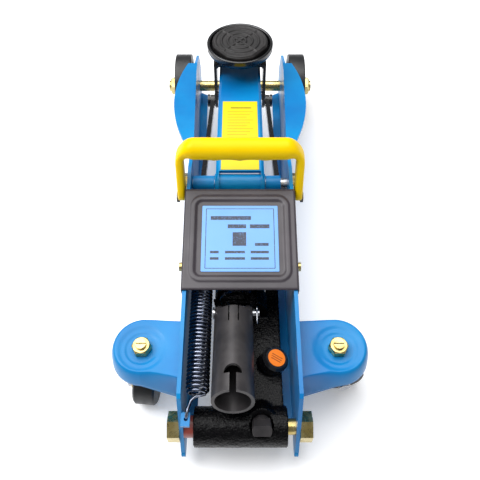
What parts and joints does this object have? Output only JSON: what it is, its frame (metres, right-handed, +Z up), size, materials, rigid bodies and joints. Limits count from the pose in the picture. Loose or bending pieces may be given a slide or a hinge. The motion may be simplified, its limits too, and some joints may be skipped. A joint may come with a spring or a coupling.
{
  "type": "trolley jack",
  "caption": "Low hydraulic trolley jack with a lifting arm kept level by tie rods, pump socket, carry handle and swivel casters.",
  "frame": {"origin": "middle of the footprint on the floor", "axes": "+Y towards the saddle end, +X right as seen from the handle, +Z up"},
  "size_m": [0.2038, 0.452, 0.1482],
  "materials": {
    "blue_paint": "gloss",
    "black_paint": "gloss",
    "cast_black": "rough gloss black",
    "cover_paint": "satin dark grey-brown",
    "yellow_zinc": "yellow passivated zinc",
    "bright_steel": "machined",
    "dark_steel": "oiled",
    "chromed_steel": "polished",
    "spring_steel": "blued",
    "yellow_plastic": "gloss",
    "blue_label": "printed film",
    "yellow_label": "printed film",
    "orange_label": "printed film",
    "black_rubber": "matte",
    "wheel_black": "satin",
    "copper_red": "satin"
  },
  "bodies": {
    "chassis": {"side_plate_left": "blue_paint", "side_plate_right": "blue_paint", "caster_bracket_left": "blue_paint", "caster_bracket_right": "blue_paint", "spacer_tubes": "blue_paint", "front_axle": "yellow_zinc", "axle_nuts": "yellow_zinc", "caster_king_bolts": "yellow_zinc", "caster_king_nuts": "yellow_zinc", "cover_screws": "yellow_zinc", "pivot_nuts": "yellow_zinc", "trunnion_bolts": "yellow_zinc", "cover_plate": "cover_paint", "cover_label": "blue_label", "carry_handle": "yellow_plastic", "handle_bolts": "dark_steel", "pivot_shaft": "bright_steel", "rod_anchor_pins": "bright_steel", "main_cylinder": "bright_steel", "gland_nut": "bright_steel", "pump_cylinder": "bright_steel", "filler_plug": "bright_steel", "fulcrum_pin": "bright_steel", "fulcrum_clip": "bright_steel", "trunnion_spacer": "copper_red", "pump_block": "cast_black", "oil_tank": "black_paint", "safety_valve_cap": "black_paint", "ram_seal": "black_rubber", "safety_label": "orange_label", "return_spring": "spring_steel"},
    "lift_arm": {"arm_channel": "blue_paint", "arm_pivot_tube": "blue_paint", "arm_label": "yellow_label", "crank_pin": "bright_steel", "crank_pin_clips": "bright_steel"},
    "tie_rods": {"tie_rod_left": "black_paint", "tie_rod_right": "black_paint"},
    "yoke": {"saddle_yoke": "black_paint", "yoke_pin": "bright_steel", "rod_front_pins": "black_paint"},
    "saddle": {"saddle_cup": "black_paint", "saddle_pad": "black_rubber"},
    "ram": {"ram_piston": "chromed_steel", "ram_head": "bright_steel", "spring_ear": "bright_steel"},
    "socket": {"handle_socket": "dark_steel", "press_roller": "bright_steel"},
    "plunger": {"pump_plunger": "chromed_steel"},
    "release": {"release_valve": "dark_steel"},
    "left_front_wheel": {"front_wheel_left": "wheel_black"},
    "right_front_wheel": {"front_wheel_right": "wheel_black"},
    "left_caster": {"caster_fork_left": "yellow_zinc", "caster_axle_left": "bright_steel"},
    "right_caster": {"caster_fork_right": "yellow_zinc", "caster_axle_right": "bright_steel"},
    "left_caster_wheel": {"caster_wheel_left": "wheel_black"},
    "right_caster_wheel": {"caster_wheel_right": "wheel_black"}
  },
  "joints": [
    {"name": "arm_lift", "type": "hinge", "parent": "chassis", "child": "lift_arm", "pos_m": [0, -0.009, 0.086], "axis": [1, 0, 0], "range_deg": [0, 74.34]},
    {"name": "tie_rod_swing", "type": "hinge", "parent": "chassis", "child": "tie_rods", "pos_m": [0, -0.002, 0.0715], "axis": [1, 0, 0], "range_deg": [0, 74.34]},
    {"name": "saddle_level", "type": "hinge", "parent": "lift_arm", "child": "yoke", "pos_m": [0, 0.15, 0.056], "axis": [1, 0, 0], "range_deg": [-74.34, 0]},
    {"name": "saddle_swivel", "type": "hinge", "parent": "yoke", "child": "saddle", "pos_m": [0, 0.15, 0.102], "axis": [0, 0, 1], "continuous": true},
    {"name": "ram_slide", "type": "slide", "parent": "chassis", "child": "ram", "axis": [0, 1, 0], "range_m": [0, 0.0435], "deforming": ["return_spring"]},
    {"name": "pump_stroke", "type": "hinge", "parent": "chassis", "child": "socket", "pos_m": [-0.005, -0.127, 0.064], "axis": [-1, 0, 0], "range_deg": [0, 44]},
    {"name": "plunger_slide", "type": "slide", "parent": "chassis", "child": "plunger", "axis": [0, 0, 1], "range_m": [0, 0.0135]},
    {"name": "release_turn", "type": "hinge", "parent": "chassis", "child": "release", "pos_m": [0.016, -0.211, 0.05], "axis": [0, -0.7071, 0.7071], "range_deg": [0, 360]},
    {"name": "front_left_roll", "type": "hinge", "parent": "chassis", "child": "left_front_wheel", "pos_m": [-0.0645, 0.1905, 0.0355], "axis": [1, 0, 0], "continuous": true},
    {"name": "front_right_roll", "type": "hinge", "parent": "chassis", "child": "right_front_wheel", "pos_m": [0.0645, 0.1905, 0.0355], "axis": [1, 0, 0], "continuous": true},
    {"name": "caster_left_swivel", "type": "hinge", "parent": "chassis", "child": "left_caster", "pos_m": [-0.0755, -0.158, 0.05], "axis": [0, 0, 1], "continuous": true},
    {"name": "caster_left_roll", "type": "hinge", "parent": "left_caster", "child": "left_caster_wheel", "pos_m": [-0.07644, -0.16695, 0.018], "axis": [0.9945, -0.1045, 0], "continuous": true},
    {"name": "caster_right_swivel", "type": "hinge", "parent": "chassis", "child": "right_caster", "pos_m": [0.0755, -0.158, 0.05], "axis": [0, 0, 1], "continuous": true},
    {"name": "caster_right_roll", "type": "hinge", "parent": "right_caster", "child": "right_caster_wheel", "pos_m": [0.08441, -0.15675, 0.018], "axis": [-0.1392, 0.9903, 0], "continuous": true}
  ],
  "couplings": [
    {"joint": "tie_rod_swing", "follows": "arm_lift", "ratio": 1},
    {"joint": "saddle_level", "follows": "arm_lift", "ratio": -1},
    {"joint": "ram_slide", "follows": "arm_lift", "m_per_rad": 0.033527},
    {"joint": "plunger_slide", "follows": "pump_stroke", "m_per_rad": 0.017561}
  ]
}
